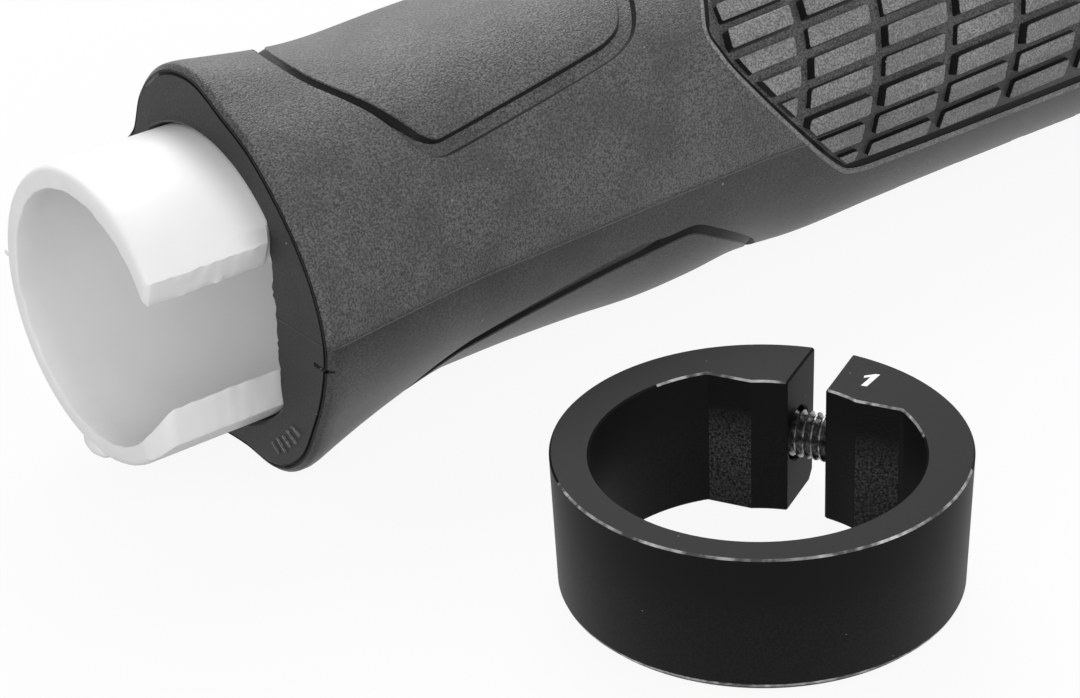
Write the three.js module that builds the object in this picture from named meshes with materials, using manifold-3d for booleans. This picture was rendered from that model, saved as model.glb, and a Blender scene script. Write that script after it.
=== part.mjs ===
import * as THREE from "three";
import { mergeVertices } from "three/addons/utils/BufferGeometryUtils.js";
import Module from "manifold-3d";

const wasm = await Module();
wasm.setup();

// Sizes are millimetres. The grip lies along +X with its open mouth at the low end, +Z is up.
// Angles round the grip are degrees: 0 faces -Y, 90 is the top.

// Core sleeve, sized to slide on a 22.2 mm handlebar
const barDiameter = 22.2;
const barPlay = 0.4;
const sleeveBoreRadius = barDiameter / 2 + barPlay / 2;
const sleeveWall = 1.9;
const sleeveRadius = sleeveBoreRadius + sleeveWall;
const stubLength = 12.1;
const notchFlat = barDiameter / 2 - 1;
const notchPastFlange = 1.9;
const sleeveEndWall = 2.0;
const assemblyGap = 0.3;

// Rubber grip
const gripLength = 136;
const rubberEndWall = 2.3;
const flangeRimRound = 0.6;
const flangeFlat = 1.4;
const flangeFlareEnd = 30;
const flangeFlareShape = 1.4;
const endRound = 3.2;
const bodySides = 48;

// How far the flange stands out past the sleeve, every 15 degrees from the underside towards -Y
const flangeStep = 15;
const flangeOut = [
  2.5, 2.95, 5.05, 5.4, 4.9, 4.95, 5.1, 4.6, 4.0, 3.7, 3.9, 4.25,
  5.5, 5.3, 3.8, 1.65, 2.0, 3.0, 4.5, 4.8, 4.65, 5.3, 5.05, 2.95,
];

// Thickness of the rubber on the top, at the sides and on the underside, at places along the axis
const bodyPlaces = [12, 22, 30, 37, 45, 52, 58, 64, 72, 82, 95, 110, 124, 130, 136];
const topCover = [3.6, 3.3, 3.5, 3.8, 3.9, 3.7, 3.5, 3.4, 3.6, 3.8, 3.8, 3.8, 3.6, 3.4, 3.3];
const sideCover = [3.2, 3.2, 2.9, 2.6, 2.2, 1.9, 1.7, 1.6, 1.8, 2.1, 2.2, 2.2, 2.1, 2.5, 2.5];
const lowCover = [1.6, 1.6, 1.55, 1.5, 1.7, 2.05, 1.9, 1.5, 1.95, 1.8, 1.7, 1.7, 1.9, 2.45, 2.45];
const topFullAt = 0.9;
const lowFullAt = 0.83;

// Grooves round the thumb panel and the finger panel, as [place along the axis, angle]
const grooveWidth = 1.4;
const grooveDepth = 0.5;
const thumbGroove = [
  [20.9, 90], [21.6, 78], [23.2, 62], [24.6, 50], [25.6, 44], [27.5, 41], [30, 42.3],
  [47.2, 51.3], [50, 54.6], [51.6, 58.5], [53.3, 67.3], [54.8, 78], [55.3, 90],
];
const fingerGroove = [
  [21.5, -90], [22, -72], [23, -56], [24.8, -42], [29.5, -32], [35.5, -24.6], [43.6, -18.8],
  [50.5, -16.3], [54, -17], [57.5, -24], [60.5, -33], [64, -55], [66, -75], [66.5, -90],
];

// Brick pads: rows run along the axis and climb a little, columns run round the grip and lean
const padDepth = 0.5;
const padEndMargin = 10.5;
const girthAt = 80;
const brickLength = 7.55;
const brickWidth = 1.95;
const columnPitch = 8.95;
const rowPitch = 2.75;
const columnDrop = 2.25;
const rowClimb = 0.035;
const columnLean = 0.2;
const brickDraft = 0.12;
const brickRoot = 0.4;
const brickInset = 0.95;
const brickSideInset = 1.6;
const shortestBrick = 0.9;
const narrowestBrick = 0.6;
const palmPad = {
  low: -20,
  high: 200,
  end: gripLength - padEndMargin,
  firstColumn: 60.3,
  firstTop: 47,
  heights: [1.05, 0.65],
  edge: [[-20, 74.6], [-17.9, 72.5], [-7.5, 69.4], [0.7, 67.4], [12.8, 64.5], [24.6, 61.8],
    [35.1, 59.7], [41.7, 59], [48.5, 58.5], [58.8, 60.3], [72, 62.5], [90, 64]],
};
const lowerPad = {
  low: -128,
  high: -52,
  end: gripLength - padEndMargin,
  firstColumn: 84.5,
  firstTop: -60,
  heights: [0.6, 0.45],
  edge: [[-90, 83.5], [-70, 83.5], [-52, 84.5]],
};

// Clamp ring, standing on the floor in front of the grip
const ringHeight = 12.3;
const ringWall = 3.5;
const ringBoreRadius = sleeveRadius + 0.05;
const ringRadius = ringBoreRadius + ringWall;
const ringBoreShift = 0.85;
const ringBossFlat = notchFlat + 0.05;
const ringTopChamfer = 0.3;
const ringLowChamfer = 0.7;
const ringTaper = 0.4;
const slitWidth = 3.3;
const slitAngle = 27.6;
const ringAlong = 32.65;
const ringAside = 48.05;
const ringSides = 96;

// Clamp screw across the slit
const screwRadius = 2.0;
const screwOut = ringRadius - 3.9;
const screwHeadRadius = 2.6;
const screwHeadHeight = 3.8;
const screwSeat = 4.4;
const screwShank = 13.6;
const screwHexFlats = 3.0;
const screwHexDepth = 2.2;
const screwPoint = 0.4;

const finishes = {
  sleeve: { color: 0xe9e9e7, roughness: 0.45, metalness: 0 },
  rubber: { color: 0x444444, roughness: 0.78, metalness: 0 },
  ring: { color: 0x1c1c1d, roughness: 0.36, metalness: 0.6 },
  screw: { color: 0x26272a, roughness: 0.32, metalness: 0.9 },
};

const radians = THREE.MathUtils.degToRad;
const mix = THREE.MathUtils.lerp;

// Value at x of a smooth line through the given places
function along(places, values, x) {
  const last = places.length - 1;
  if (x <= places[0]) return values[0];
  if (x >= places[last]) return values[last];
  const i = places.findIndex((place) => place > x) - 1;
  const t = (x - places[i]) / (places[i + 1] - places[i]);
  return mix(values[i], values[i + 1], t * t * (3 - 2 * t));
}

// Radius of the flange outline at an angle
function flangeRadius(angle) {
  const count = flangeOut.length;
  const turn = ((angle + 90) / flangeStep + count) % count;
  const i = Math.floor(turn);
  const [a, b, c, d] = [-1, 0, 1, 2].map((k) => flangeOut[(i + k + count) % count]);
  const t = turn - i;
  return sleeveRadius + b + 0.5 * t * (c - a + t * (2 * a - 5 * b + 4 * c - d + t * (3 * (b - c) + d - a)));
}

// How far the end of the rubber is drawn in where it rounds over
function endDrawIn(x) {
  const rest = Math.max(0, gripLength - x);
  if (rest >= endRound) return 0;
  return endRound - Math.sqrt(endRound ** 2 - (endRound - rest) ** 2);
}

// Radius of the rubber surface, before its grooves and pads
function surfaceRadius(x, angle) {
  const rise = Math.sin(radians(angle));
  const top = THREE.MathUtils.smoothstep(rise, 0, topFullAt);
  const low = THREE.MathUtils.smoothstep(-rise, 0, lowFullAt);
  const side = along(bodyPlaces, sideCover, x);
  const body =
    sleeveRadius +
    side +
    top * (along(bodyPlaces, topCover, x) - side) +
    low * (along(bodyPlaces, lowCover, x) - side);
  const start = stubLength + flangeFlat;
  const t = THREE.MathUtils.clamp((x - start) / (flangeFlareEnd - start), 0, 1);
  const flare = mix(body, flangeRadius(angle), (1 - t) ** flangeFlareShape);
  const rim = Math.max(0, flangeRimRound - (x - stubLength));
  return flare - (rim * rim) / flangeRimRound - endDrawIn(x);
}

// Point at a place, angle and radius on the grip
function onGrip(x, angle, radius) {
  const turn = radians(angle);
  return new THREE.Vector3(x, -radius * Math.cos(turn), radius * Math.sin(turn));
}

function geometryOf(points, faces) {
  const geometry = new THREE.BufferGeometry().setFromPoints(points);
  geometry.setIndex(faces.flat());
  return geometry;
}

// Solid of a three.js geometry
function solid(geometry) {
  const bare = geometry.clone();
  bare.deleteAttribute("normal");
  bare.deleteAttribute("uv");
  const merged = mergeVertices(bare, 1e-4);
  const mesh = new wasm.Mesh({
    numProp: 3,
    vertProperties: merged.attributes.position.array,
    triVerts: new Uint32Array(merged.index.array),
  });
  return new wasm.Manifold(mesh);
}

// Closed tube of rings: each ring is a list of points, with a point to close either end on
function loft(rings, first, last) {
  const count = rings[0].length;
  const points = [...rings.flat(), first, last];
  const faces = [];
  for (let i = 0; i + 1 < rings.length; i++) {
    for (let j = 0; j < count; j++) {
      const k = (j + 1) % count;
      const [a, b, c, d] = [i * count + j, (i + 1) * count + j, (i + 1) * count + k, i * count + k];
      faces.push([a, b, c], [a, c, d]);
    }
  }
  const end = (rings.length - 1) * count;
  for (let j = 0; j < count; j++) {
    const k = (j + 1) % count;
    faces.push([points.length - 2, j, k], [points.length - 1, end + k, end + j]);
  }
  return geometryOf(points, faces);
}

// Slab between an outer and an inner sheet, each a grid of rows by columns
function slab(rows, columns, pointAt) {
  const points = [];
  const size = rows * columns;
  for (const outer of [true, false]) {
    for (let i = 0; i < rows; i++) {
      for (let j = 0; j < columns; j++) points.push(pointAt(i, j, outer));
    }
  }
  const faces = [];
  const quad = (a, b, c, d) => faces.push([a, b, c], [a, c, d]);
  const at = (i, j) => i * columns + j;
  for (let i = 0; i + 1 < rows; i++) {
    for (let j = 0; j + 1 < columns; j++) {
      const [a, b, c, d] = [at(i, j), at(i + 1, j), at(i + 1, j + 1), at(i, j + 1)];
      quad(a, b, c, d);
      quad(size + d, size + c, size + b, size + a);
    }
  }
  for (let i = 0; i + 1 < rows; i++) {
    const [a, b] = [at(i, 0), at(i + 1, 0)];
    const [c, d] = [at(i, columns - 1), at(i + 1, columns - 1)];
    quad(size + a, size + b, b, a);
    quad(c, d, size + d, size + c);
  }
  for (let j = 0; j + 1 < columns; j++) {
    const [a, b] = [at(0, j), at(0, j + 1)];
    const [c, d] = [at(rows - 1, j), at(rows - 1, j + 1)];
    quad(a, b, size + b, size + a);
    quad(size + c, size + d, d, c);
  }
  return geometryOf(points, faces);
}

// Solid swept round a closed path whose sections are loops of points
function hoop(sections) {
  const count = sections[0].length;
  const faces = [];
  sections.forEach((section, i) => {
    const next = (i + 1) % sections.length;
    section.forEach((_, j) => {
      const k = (j + 1) % count;
      const [a, b, c, d] = [i * count + j, next * count + j, next * count + k, i * count + k];
      faces.push([a, b, c], [a, c, d]);
    });
  });
  return geometryOf(sections.flat(), faces);
}

// Turned solid about the local Z axis from [radius, height] pairs
function turned(profile, sides) {
  const points = profile.map(([radius, height]) => new THREE.Vector2(radius, height));
  return new THREE.LatheGeometry(points, sides).rotateX(Math.PI / 2);
}

// The same, laid along X
function turnedAlongX(profile, sides) {
  return turned(profile, sides).rotateY(Math.PI / 2);
}

function box(x0, x1, y0, y1, z0, z1) {
  const geometry = new THREE.BoxGeometry(x1 - x0, y1 - y0, z1 - z0);
  return geometry.translate((x0 + x1) / 2, (y0 + y1) / 2, (z0 + z1) / 2);
}

function coreSleeve() {
  const end = gripLength - rubberEndWall - assemblyGap;
  const tube = turnedAlongX([
    [0, end - sleeveEndWall],
    [sleeveBoreRadius, end - sleeveEndWall],
    [sleeveBoreRadius, 0],
    [sleeveRadius, 0],
    [sleeveRadius, end],
    [0, end],
  ], bodySides);
  const reach = sleeveRadius + 2;
  const notch = box(-1, stubLength + notchPastFlange, -reach, -notchFlat, -reach, reach);
  return solid(tube).subtract(solid(notch));
}

// Places from one to another, evenly spaced, without the last
function steps(from, to, count) {
  return Array.from({ length: count }, (_, i) => mix(from, to, i / count));
}

// Rubber body lofted from sections along the axis, solid through
function rubberBody() {
  const flat = stubLength + flangeFlat;
  const places = [
    ...steps(stubLength, flat, 4),
    ...steps(flat, flangeFlareEnd, 6),
    ...steps(flangeFlareEnd, gripLength - endRound, 13),
    ...steps(gripLength - endRound, gripLength, 4).map((x) => x + 0.08),
  ];
  const rings = places.map((x) =>
    Array.from({ length: bodySides }, (_, j) => {
      const angle = (360 * j) / bodySides;
      return onGrip(x, angle, surfaceRadius(x, angle));
    }),
  );
  const first = new THREE.Vector3(places[0], 0, 0);
  const last = new THREE.Vector3(places.at(-1), 0, 0);
  return solid(loft(rings, first, last));
}

// Both halves of an outline given for one side, mirrored about the top or the underside
function mirrored(path) {
  const middle = path[0][1];
  const back = path.slice(1, -1).reverse().map(([x, angle]) => [x, 2 * middle - angle]);
  return [...path, ...back];
}

// Cutter for a groove that follows a closed path over the surface
function grooveCutter(path) {
  const loop = mirrored(path);
  const flat = loop.map(([x, angle]) => {
    return new THREE.Vector2(x, radians(angle) * surfaceRadius(x, angle));
  });
  const sections = loop.map(([x, angle], i) => {
    const before = flat.at(i - 1);
    const after = flat[(i + 1) % flat.length];
    const run = after.clone().sub(before).normalize();
    const scale = 180 / Math.PI / surfaceRadius(x, angle);
    const edge = (side, lift) => {
      const place = x - side * run.y * grooveWidth * 0.5;
      const turn = angle + side * run.x * grooveWidth * 0.5 * scale;
      return onGrip(place, turn, surfaceRadius(place, turn) + lift);
    };
    return [edge(-1, 1.5), edge(1, 1.5), edge(1, -grooveDepth), edge(-1, -grooveDepth)];
  });
  return solid(hoop(sections));
}

// Distance round the body, a value for each degree from -180 on
const girth = [0];
for (let turn = -180; turn < 360; turn++) {
  girth.push(girth.at(-1) + radians(surfaceRadius(girthAt, turn + 0.5)));
}

// Distance round the body from angle 0 to an angle
function around(angle) {
  const i = THREE.MathUtils.clamp(Math.floor(angle + 180), 0, girth.length - 2);
  return mix(girth[i], girth[i + 1], angle + 180 - i) - girth[180];
}

// Angle at a distance round the body
function turnAt(distance) {
  const reach = distance + girth[180];
  const i = THREE.MathUtils.clamp(girth.findIndex((far) => far > reach) - 1, 0, girth.length - 2);
  return i - 180 + (reach - girth[i]) / (girth[i + 1] - girth[i]);
}

// Where a pad starts along the axis at an angle; both sides are alike
function padStart(pad, angle) {
  const middle = (pad.low + pad.high) / 2;
  const folded = middle < 0 ? Math.max(angle, 2 * middle - angle) : Math.min(angle, 2 * middle - angle);
  const angles = pad.edge.map(([turn]) => turn);
  const i = Math.max(1, angles.findIndex((turn) => turn >= folded));
  const t = THREE.MathUtils.clamp((folded - angles[i - 1]) / (angles[i] - angles[i - 1]), 0, 1);
  return mix(pad.edge[i - 1][1], pad.edge[i][1], t);
}

// Cutter for the sunk floor of a pad
function padCutter(pad) {
  const columns = Math.round((pad.high - pad.low) / 7.5) + 1;
  const rows = 5;
  const cutter = slab(rows, columns, (i, j, outer) => {
    const angle = mix(pad.low, pad.high, j / (columns - 1));
    const x = mix(padStart(pad, angle), pad.end, i / (rows - 1));
    return onGrip(x, angle, surfaceRadius(x, angle) + (outer ? 2 : -padDepth));
  });
  return solid(cutter);
}

// One brick at a column and a row, cut back along the edges of its pad
function brick(pad, column, row) {
  const drop = row * rowPitch - column * columnDrop;
  const start = pad.firstColumn + column * columnPitch + columnLean * drop;
  const end = Math.min(start + brickLength, pad.end - brickInset);
  const least = around(pad.low) + brickSideInset;
  const most = around(pad.high) - brickSideInset;
  const top = around(pad.firstTop) + drop;
  const sides = [top - brickWidth, top].map((side) => THREE.MathUtils.clamp(side, least, most));
  if (sides[1] - sides[0] < narrowestBrick) return null;
  const starts = sides.map((side) => Math.max(start, padStart(pad, turnAt(side)) + brickInset));
  if (end - Math.max(...starts) < shortestBrick) return null;
  const height = pad.heights[Math.abs(row + column) % 2];
  return slab(2, 2, (i, j, outer) => {
    const lean = outer ? brickDraft : -brickDraft;
    const x = i ? end - lean : starts[j] + lean;
    const turn = turnAt(sides[j] + (j ? -lean : lean) + rowClimb * (x - start));
    const lift = (outer ? height : -brickRoot) - padDepth;
    return onGrip(x, turn, surfaceRadius(x, turn) + lift);
  });
}

function bricks(pad) {
  const all = [];
  const length = around(pad.high) - around(pad.low);
  for (let column = 0; pad.firstColumn + column * columnPitch < pad.end; column++) {
    const below = around(pad.low) - around(pad.firstTop) + column * columnDrop;
    const firstRow = Math.floor(below / rowPitch);
    for (let row = firstRow; row <= firstRow + length / rowPitch + 2; row++) {
      const piece = brick(pad, column, row);
      if (piece) all.push(solid(piece));
    }
  }
  return all;
}

// Bore of the rubber with the flat land that fills the notch of the sleeve
function rubberBore() {
  const radius = sleeveRadius + assemblyGap;
  const depth = gripLength - rubberEndWall;
  const bore = turnedAlongX([[0, stubLength - 1], [radius, stubLength - 1], [radius, depth], [0, depth]], bodySides);
  const landFlat = notchFlat + assemblyGap;
  const landEnd = stubLength + notchPastFlange - assemblyGap;
  const land = box(0, landEnd, -radius - 2, -landFlat, -radius - 2, radius + 2);
  return solid(bore).subtract(solid(land));
}

function rubberGrip() {
  const pads = [palmPad, lowerPad];
  const cuts = [
    ...[thumbGroove, fingerGroove].map(grooveCutter),
    ...pads.map(padCutter),
    rubberBore(),
  ];
  const sunk = cuts.reduce((body, cut) => body.subtract(cut), rubberBody());
  return wasm.Manifold.union([sunk, ...pads.flatMap(bricks)]);
}

// Opening of the ring: the sleeve bore, two flats that enter the notch and the arc that grips the bar
function ringOpening() {
  const barRadius = barDiameter / 2 + 0.1;
  const flatStart = Math.acos(ringBossFlat / ringBoreRadius);
  const arcStart = Math.acos(ringBossFlat / barRadius);
  const shape = new THREE.Shape();
  shape.absarc(0, 0, ringBoreRadius, flatStart, 2 * Math.PI - flatStart, false);
  shape.absarc(0, 0, barRadius, -arcStart, arcStart, false);
  shape.closePath();
  const options = { depth: ringHeight + 2, bevelEnabled: false, curveSegments: ringSides / 2 };
  return new THREE.ExtrudeGeometry(shape, options).translate(-ringBoreShift, 0, -1);
}

// Ring about its own centre, slit towards +X
function clampRing() {
  const blank = turned([
    [0, 0],
    [ringRadius - ringTaper - ringLowChamfer, 0],
    [ringRadius - ringTaper, ringLowChamfer],
    [ringRadius, ringHeight - ringTopChamfer],
    [ringRadius - ringTopChamfer, ringHeight],
    [0, ringHeight],
  ], ringSides);
  const slit = box(0, ringRadius + 2, -slitWidth / 2, slitWidth / 2, -1, ringHeight + 1);
  const hole = screwTurned([
    [0, -ringRadius - 2],
    [screwRadius + assemblyGap, -ringRadius - 2],
    [screwRadius + assemblyGap, screwSeat],
    [screwHeadRadius + assemblyGap, screwSeat],
    [screwHeadRadius + assemblyGap, ringRadius + 2],
    [0, ringRadius + 2],
  ]);
  return [ringOpening(), slit, hole].map(solid).reduce((ring, cut) => ring.subtract(cut), solid(blank));
}

// Turned about the axis of the screw, which crosses the slit at half height
function screwTurned(profile, sides = 32) {
  return turned(profile, sides).rotateX(Math.PI / 2).translate(screwOut, 0, ringHeight / 2);
}

function clampScrew() {
  const seat = screwSeat + assemblyGap;
  const tip = seat - screwShank;
  const top = seat + screwHeadHeight;
  const blank = screwTurned([
    [0, tip],
    [screwRadius - screwPoint, tip],
    [screwRadius, tip + screwPoint],
    [screwRadius, seat],
    [screwHeadRadius, seat],
    [screwHeadRadius, top - 0.3],
    [screwHeadRadius - 0.3, top],
    [0, top],
  ]);
  const hexRadius = screwHexFlats / Math.sqrt(3);
  const hex = screwTurned([
    [0, top - screwHexDepth],
    [hexRadius, top - screwHexDepth],
    [hexRadius, top + 1],
    [0, top + 1],
  ], 6);
  return solid(blank).subtract(solid(hex));
}

// Geometry of a finished solid
function geometryFrom(made) {
  const mesh = made.getMesh();
  const geometry = new THREE.BufferGeometry();
  geometry.setAttribute("position", new THREE.BufferAttribute(new Float32Array(mesh.vertProperties), 3));
  geometry.setIndex(new THREE.BufferAttribute(new Uint32Array(mesh.triVerts), 1));
  geometry.computeVertexNormals();
  return geometry;
}

function onRingPlace(made, axisHeight) {
  const geometry = geometryFrom(made).rotateZ(radians(slitAngle));
  return geometry.translate(ringAlong, -ringAside, -axisHeight);
}

const rubber = geometryFrom(rubberGrip());
rubber.computeBoundingBox();
const axisHeight = -rubber.boundingBox.min.z;
const nodes = {
  core_sleeve: [geometryFrom(coreSleeve()), finishes.sleeve],
  rubber_grip: [rubber, finishes.rubber],
  clamp_ring: [onRingPlace(clampRing(), axisHeight), finishes.ring],
  clamp_screw: [onRingPlace(clampScrew(), axisHeight), finishes.screw],
};

// The floor is put at zero under the middle of the whole set
const reach = new THREE.Box3();
for (const [geometry] of Object.values(nodes)) {
  geometry.computeBoundingBox();
  reach.union(geometry.boundingBox);
}
const middle = reach.getCenter(new THREE.Vector3());

const grip = new THREE.Group();
grip.name = "lock_on_grip";
for (const [name, [geometry, finish]] of Object.entries(nodes)) {
  geometry.translate(-middle.x, -middle.y, -reach.min.z);
  const mesh = new THREE.Mesh(geometry, new THREE.MeshStandardMaterial(finish));
  mesh.name = name;
  grip.add(mesh);
}

export default grip;
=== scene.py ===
import bpy
import bmesh
import math
from bisect import bisect
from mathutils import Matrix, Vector, noise


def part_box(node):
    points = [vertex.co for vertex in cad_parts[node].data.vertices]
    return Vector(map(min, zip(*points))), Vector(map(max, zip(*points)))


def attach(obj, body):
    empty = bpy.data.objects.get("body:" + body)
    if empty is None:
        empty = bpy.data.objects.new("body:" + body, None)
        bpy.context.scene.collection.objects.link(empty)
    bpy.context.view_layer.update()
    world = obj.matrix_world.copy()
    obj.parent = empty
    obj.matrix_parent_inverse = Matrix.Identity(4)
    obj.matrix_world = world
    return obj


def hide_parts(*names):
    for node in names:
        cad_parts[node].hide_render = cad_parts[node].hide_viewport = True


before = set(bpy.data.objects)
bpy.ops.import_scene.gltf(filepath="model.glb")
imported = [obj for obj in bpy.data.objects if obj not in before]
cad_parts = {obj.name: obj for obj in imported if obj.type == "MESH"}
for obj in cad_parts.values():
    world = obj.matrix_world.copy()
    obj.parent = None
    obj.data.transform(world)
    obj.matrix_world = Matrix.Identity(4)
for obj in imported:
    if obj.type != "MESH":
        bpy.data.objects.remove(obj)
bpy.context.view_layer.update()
scene = bpy.context.scene

# Where the grip lies: places run along x from the mouth, angle 0 faces the camera side, 90 is the top
sleeveLow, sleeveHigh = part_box("core_sleeve")
mouthX = sleeveLow.x
axisY = (sleeveLow.y + sleeveHigh.y) / 2
axisZ = (sleeveLow.z + sleeveHigh.z) / 2
ringLow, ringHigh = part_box("clamp_ring")
ringCentre = Vector(((ringLow.x + ringHigh.x) / 2, (ringLow.y + ringHigh.y) / 2, ringLow.z))

mm = 0.001


def deselectAll():
    if bpy.context.object and bpy.context.object.mode != "OBJECT":
        bpy.ops.object.mode_set(mode="OBJECT")
    bpy.ops.object.select_all(action="DESELECT")


def makeActive(piece):
    deselectAll()
    piece.select_set(True)
    bpy.context.view_layer.objects.active = piece


def named(name):
    piece = bpy.context.object
    piece.name = name
    piece.data.name = name
    return piece


def startEditing(piece):
    makeActive(piece)
    bpy.ops.object.mode_set(mode="EDIT")


def stopEditing():
    bpy.ops.object.mode_set(mode="OBJECT")


def selectWhere(kind, test):  # kind is VERT, EDGE or FACE, of the piece in edit mode
    bpy.ops.mesh.select_mode(type=kind)
    bpy.ops.mesh.select_all(action="DESELECT")
    mesh = bmesh.from_edit_mesh(bpy.context.object.data)
    parts = {"VERT": mesh.verts, "EDGE": mesh.edges, "FACE": mesh.faces}[kind]
    for part in parts:
        if test(part):
            part.select_set(True)
    mesh.select_flush_mode()
    bmesh.update_edit_mesh(bpy.context.object.data)


def middleOf(edge):
    return (edge.verts[0].co + edge.verts[1].co) / 2


def shapeBy(piece, move):  # move gives each point its new place
    for vertex in piece.data.vertices:
        vertex.co = move(vertex.co.copy())
    piece.data.update()


def cleanUp(piece, distance=0.00001):
    startEditing(piece)
    bpy.ops.mesh.select_all(action="SELECT")
    bpy.ops.mesh.remove_doubles(threshold=distance)
    bpy.ops.mesh.normals_make_consistent(inside=False)
    stopEditing()


def mendMesh(piece):  # a cut can leave a face twice, or an edge without a face
    piece.data.validate()
    startEditing(piece)
    bpy.ops.mesh.select_all(action="SELECT")
    bpy.ops.mesh.delete_loose(use_verts=True, use_edges=True, use_faces=False)
    bpy.ops.mesh.select_all(action="SELECT")
    bpy.ops.mesh.normals_make_consistent(inside=False)
    stopEditing()


def applyAll(piece):
    makeActive(piece)
    for modifier in list(piece.modifiers):
        bpy.ops.object.modifier_apply(modifier=modifier.name)


def cutWith(piece, cutter, operation="DIFFERENCE", solver="EXACT"):
    boolean = piece.modifiers.new("cut", "BOOLEAN")
    boolean.operation = operation
    boolean.solver = solver
    boolean.object = cutter
    applyAll(piece)
    bpy.data.objects.remove(cutter)


def joinInto(piece, others):
    makeActive(piece)
    for other in others:
        other.select_set(True)
    bpy.ops.object.join()


def copyOf(piece, name):
    other = piece.copy()
    other.data = piece.data.copy()
    other.name = name
    scene.collection.objects.link(other)
    return other


def softEdges(piece, width, segments=2, angle=32, edgeSlot=None, clamp=True):
    bevel = piece.modifiers.new("edges", "BEVEL")
    bevel.width = width
    bevel.segments = segments
    bevel.limit_method = "ANGLE"
    bevel.angle_limit = math.radians(angle)
    bevel.use_clamp_overlap = clamp
    if edgeSlot is not None:
        bevel.material = edgeSlot
    applyAll(piece)


def smoothShade(piece, angle=30):
    makeActive(piece)
    bpy.ops.object.shade_smooth_by_angle(angle=math.radians(angle))


def giveMaterials(piece, materials):
    for material in materials[len(piece.data.materials):]:
        piece.data.materials.append(material)


def markFaces(piece, slot, test):  # puts the faces that pass the test in a material slot
    for face in piece.data.polygons:
        if test(face):
            face.material_index = slot


def finishPiece(piece, materials, slot, *nodes):
    makeActive(piece)
    bpy.ops.object.transform_apply(location=True, rotation=True, scale=True)
    giveMaterials(piece, materials)
    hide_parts(*nodes)
    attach(piece, "root")


gripShape = {  # millimetres and degrees
    "length": 135.3,
    "stub": 12.1,
    "innerRadius": 13.45,
    "flash": 0.35,
    "rimGroove": 0.4,
    "grooveTurn": 25,
    "grooveBand": (0.46, 0.88),
    "endWall": 2.3,
    "landFlat": 10.3,
    "landEnd": 13.8,
    "flangeFlat": 1.4,
    "flareEnd": 30,
    "flareShape": 1.4,
    "rimRound": 0.6,
    "endRound": 3.2,
    "sides": 192,
    "step": 0.62,
    "girthAt": 80,
    "smoothBelow": 24,
}

# Radius of the flange every 15 degrees, from the underside on
flangeOutline = [
    15.7, 16.1, 18.1, 18.6, 18.1, 18.15, 18.3, 17.8, 17.2, 16.9, 17.1, 17.45,
    18.7, 18.5, 17.0, 14.85, 15.2, 16.2, 17.7, 18.0, 17.85, 18.5, 18.1, 16.1,
]

# Radii at the top, the sides and the underside, at each of the places
bodyPlaces = [12, 22, 30, 37, 45, 52, 58, 64, 72, 82, 95, 110, 124, 130, 136]
topRadii = [16.8, 16.5, 16.7, 17, 17.1, 16.9, 16.7, 16.6, 16.8, 17, 17, 17, 16.8, 16.6, 16.5]
sideRadii = [16.4, 16.4, 16.1, 15.8, 15.4, 15.1, 14.9, 14.8, 15, 15.3, 15.4, 15.4, 15.3, 15.7, 15.7]
lowRadii = [
    14.8, 14.8, 14.75, 14.7, 14.9, 15.25, 15.1, 14.7, 15.15, 15, 14.9, 14.9, 15.1, 15.65, 15.65,
]


def mix(a, b, t):
    return a + (b - a) * t


def smoothstep(value, low, high):
    t = min(1, max(0, (value - low) / (high - low)))
    return t * t * (3 - 2 * t)


def radiusAt(values, place):  # smooth line through the values at the body's places
    last = len(bodyPlaces) - 1
    if place <= bodyPlaces[0]:
        return values[0]
    if place >= bodyPlaces[last]:
        return values[last]
    i = next(k for k in range(last) if bodyPlaces[k + 1] > place)

    def slope(k):
        a, b = max(0, k - 1), min(last, k + 1)
        return (values[b] - values[a]) / (bodyPlaces[b] - bodyPlaces[a])

    run = bodyPlaces[i + 1] - bodyPlaces[i]
    t = (place - bodyPlaces[i]) / run
    return (
        values[i] * (1 + 2 * t) * (1 - t) ** 2
        + values[i + 1] * t * t * (3 - 2 * t)
        + run * slope(i) * t * (1 - t) ** 2
        - run * slope(i + 1) * t * t * (1 - t)
    )


def flangeRadius(angle):
    count = len(flangeOutline)
    turn = ((angle + 90) / 15) % count
    i = int(turn)
    t = turn - i
    a, b, c, d = (flangeOutline[(i + k) % count] for k in (-1, 0, 1, 2))
    return b + 0.5 * t * (c - a + t * (2 * a - 5 * b + 4 * c - d + t * (3 * (b - c) + d - a)))


def skinRadius(place, angle):
    shape = gripShape
    rise = math.sin(math.radians(angle))
    side = radiusAt(sideRadii, place)
    body = side
    body += smoothstep(rise, 0, 0.9) * (radiusAt(topRadii, place) - side)
    body += smoothstep(-rise, 0, 0.83) * (radiusAt(lowRadii, place) - side)
    start = shape["stub"] + shape["flangeFlat"]
    t = min(1, max(0, (place - start) / (shape["flareEnd"] - start)))
    radius = mix(body, flangeRadius(angle), (1 - t) ** shape["flareShape"])
    rim = max(0, shape["rimRound"] - (place - shape["stub"]))
    radius -= rim * rim / shape["rimRound"]
    rest = max(0, shape["length"] - place)
    bend = shape["endRound"]
    if rest < bend:
        radius -= bend - math.sqrt(bend ** 2 - (bend - rest) ** 2)
    return radius


def onGrip(place, angle, radius):  # from millimetres and degrees to a point of the frame
    turn = math.radians(angle)
    return Vector((
        mouthX + place * mm,
        axisY - radius * math.cos(turn) * mm,
        axisZ + radius * math.sin(turn) * mm,
    ))


girth = [0.0]  # distance round the grip at its middle, a value for each degree from -180 on
for degree in range(-180, 360):
    girth.append(girth[-1] + math.radians(1) * skinRadius(gripShape["girthAt"], degree + 0.5))


def across(angle):  # flat distance round the grip, in millimetres
    whole = min(len(girth) - 2, int(angle + 180))
    return mix(girth[whole], girth[whole + 1], angle + 180 - whole) - girth[180]


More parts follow.
